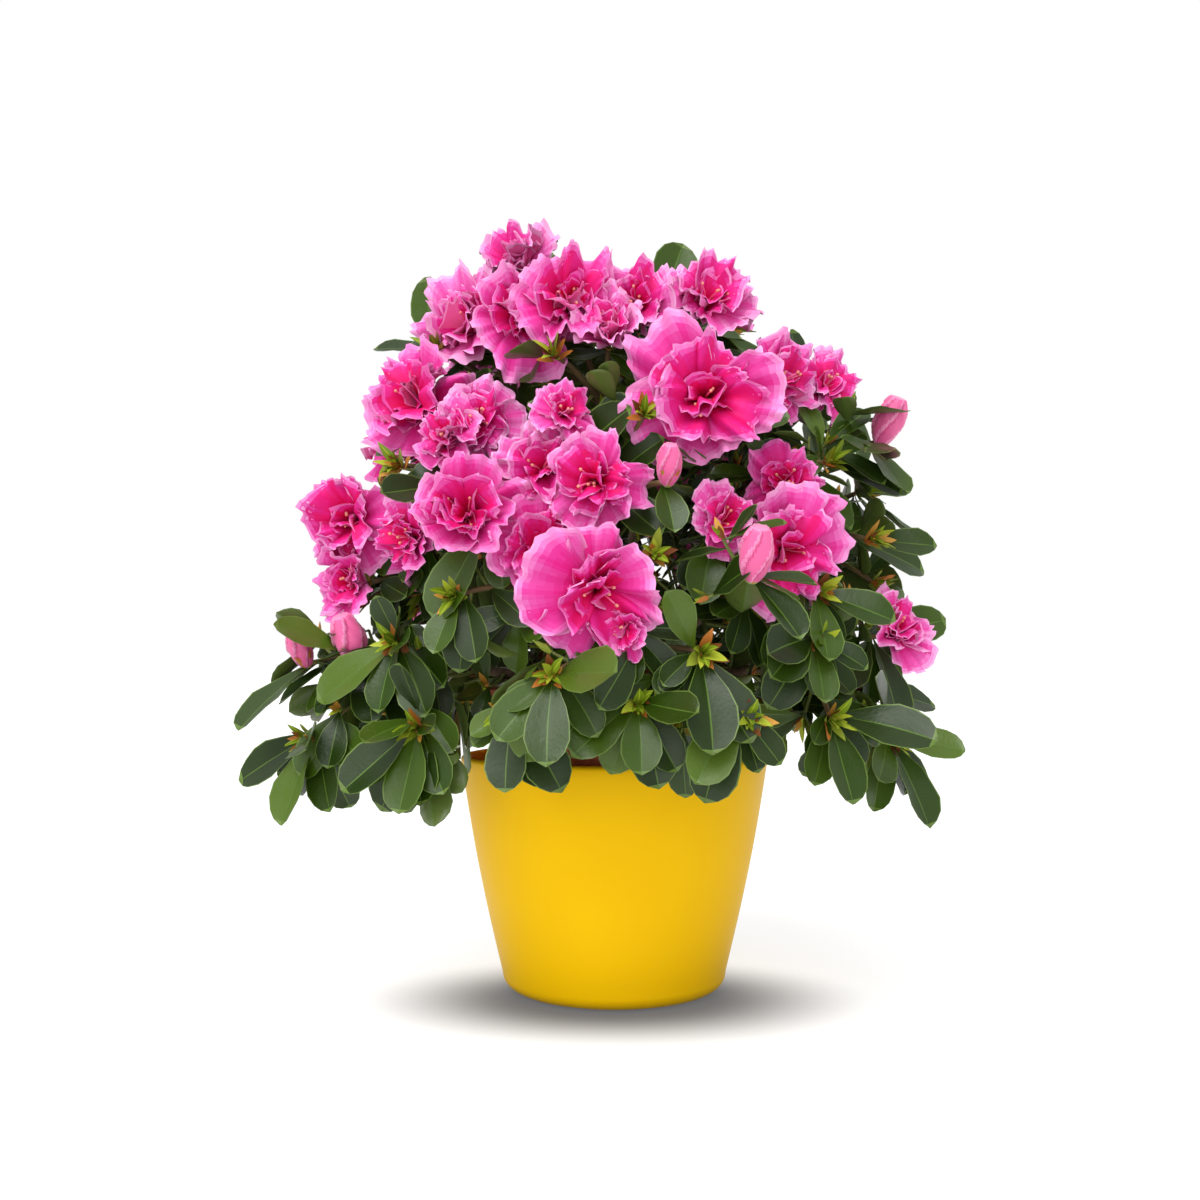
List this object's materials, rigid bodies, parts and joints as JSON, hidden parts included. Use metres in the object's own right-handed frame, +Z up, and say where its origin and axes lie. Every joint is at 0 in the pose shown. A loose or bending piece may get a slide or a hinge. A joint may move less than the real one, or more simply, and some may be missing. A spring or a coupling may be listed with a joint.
{
  "type": "potted azalea shrub",
  "caption": "Bushy dwarf azalea with double ruffled blossoms over whorls of oval leaves, in a clay-coloured nursery pot that stands proud of a tapered yellow cover pot.",
  "frame": {"origin": "centre of the cover pot's flat underside", "axes": "+Z up, -Y towards the front that the picture shows, +X to the right as seen from the front"},
  "size_m": [0.3198, 0.3032, 0.348],
  "materials": {
    "glazed_pot": "satin glaze",
    "nursery_pot": "matt, clay-coloured",
    "peat": "moist peat",
    "bark": "rough bark",
    "blossom": "soft petals over leaves",
    "leaves": "leathery leaves"
  },
  "bodies": {
    "root": {"cover_pot": "glazed_pot", "nursery_pot": "nursery_pot", "root_ball": "peat", "stem": "bark", "crown_left_bough": "bark", "crown_left_foliage": "blossom", "crown_right_bough": "bark", "crown_right_foliage": "blossom", "shoulder_right_bough": "bark", "shoulder_right_foliage": "blossom", "shoulder_left_bough": "bark", "shoulder_left_foliage": "blossom", "front_left_bough": "bark", "front_left_foliage": "blossom", "left_bough": "bark", "left_foliage": "blossom", "front_bough": "bark", "front_foliage": "blossom", "front_right_bough": "bark", "front_right_foliage": "blossom", "right_bough": "bark", "right_foliage": "blossom", "skirt_left_bough": "bark", "skirt_left_foliage": "leaves", "skirt_front_bough": "bark", "skirt_front_foliage": "blossom", "skirt_right_bough": "bark", "skirt_right_foliage": "blossom", "crown_top_bough": "bark", "crown_top_foliage": "blossom", "back_crown_bough": "bark", "back_crown_foliage": "blossom", "back_left_bough": "bark", "back_left_foliage": "blossom", "back_bough": "bark", "back_foliage": "blossom", "back_right_bough": "bark", "back_right_foliage": "blossom", "skirt_back_left_bough": "bark", "skirt_back_left_foliage": "leaves", "skirt_back_right_bough": "bark", "skirt_back_right_foliage": "leaves"}
  },
  "joints": []
}
